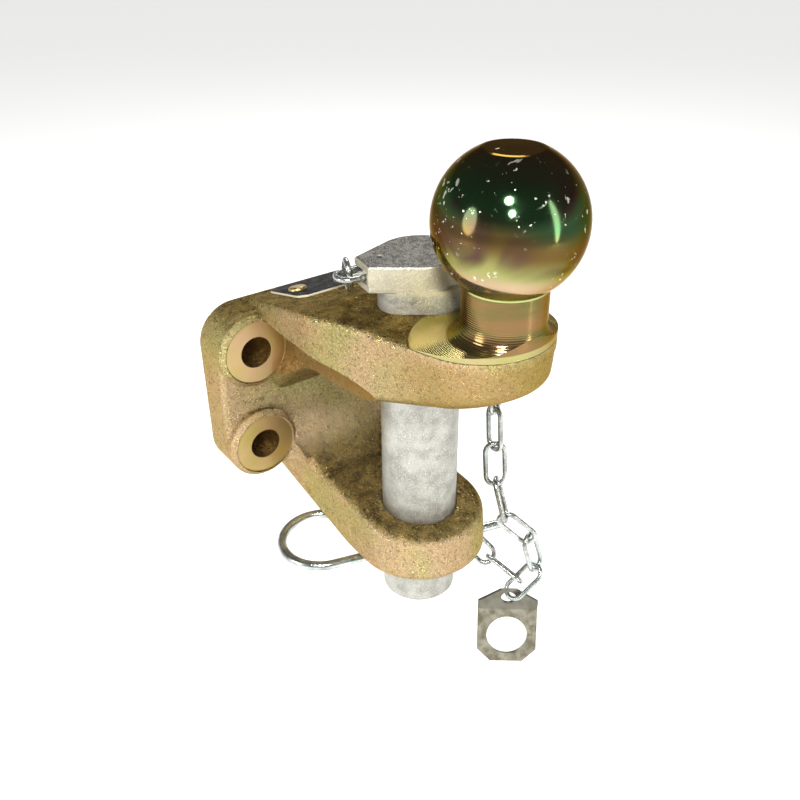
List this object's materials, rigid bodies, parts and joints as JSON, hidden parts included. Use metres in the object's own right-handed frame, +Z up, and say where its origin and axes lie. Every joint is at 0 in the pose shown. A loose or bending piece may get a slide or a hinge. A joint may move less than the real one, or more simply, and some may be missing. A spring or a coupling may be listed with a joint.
{
  "type": "combined ball-and-pin towing hitch",
  "caption": "Flange-mounted towing hitch with a ball on a forged tongue and a drop-pin jaw, with clip, chain and anchor tag.",
  "frame": {"origin": "centre of the four-bolt pattern, on the flange's back face", "axes": "+X from the flange towards the ball, +Y to the hitch's left, +Z up along the ball's axis"},
  "size_m": [0.1417, 0.1174, 0.2491],
  "materials": {
    "yellow_zinc": "rough",
    "zinc": "satin",
    "galvanised": "matte",
    "plate_black": "satin",
    "rivet_brass": "satin"
  },
  "bodies": {
    "hitch": {"hitch_body": "yellow_zinc", "data_plate": "plate_black", "plate_rivets": "rivet_brass"},
    "pin": {"drop_pin": "zinc", "roll_pin": "zinc", "chain_link_01": "zinc", "chain_link_02": "zinc", "chain_link_03": "zinc", "chain_link_04": "zinc", "chain_link_05": "zinc", "chain_link_06": "zinc", "chain_link_07": "zinc", "chain_link_08": "zinc", "chain_link_09": "zinc", "chain_link_10": "zinc", "chain_link_11": "zinc", "chain_link_12": "zinc", "chain_link_13": "zinc", "chain_link_14": "zinc", "chain_link_15": "zinc", "chain_link_16": "zinc", "chain_link_17": "zinc", "chain_link_18": "zinc", "chain_link_19": "zinc"},
    "clip": {"retaining_clip": "zinc"},
    "tag": {"anchor_tag": "galvanised"}
  },
  "joints": [
    {"name": "pin_lift", "type": "slide", "parent": "hitch", "child": "pin", "axis": [0, 0, 1], "range_m": [0, 0.0005]},
    {"name": "clip_pull", "type": "slide", "parent": "pin", "child": "clip", "axis": [-0.2823, -0.9593, 0], "range_m": [0, 0.06]},
    {"name": "tag_swing", "type": "hinge", "parent": "pin", "child": "tag", "pos_m": [0.09521, 0.03424, -0.09645], "axis": [0.788, -0.6157, 0], "range_deg": [-15, 3]}
  ]
}
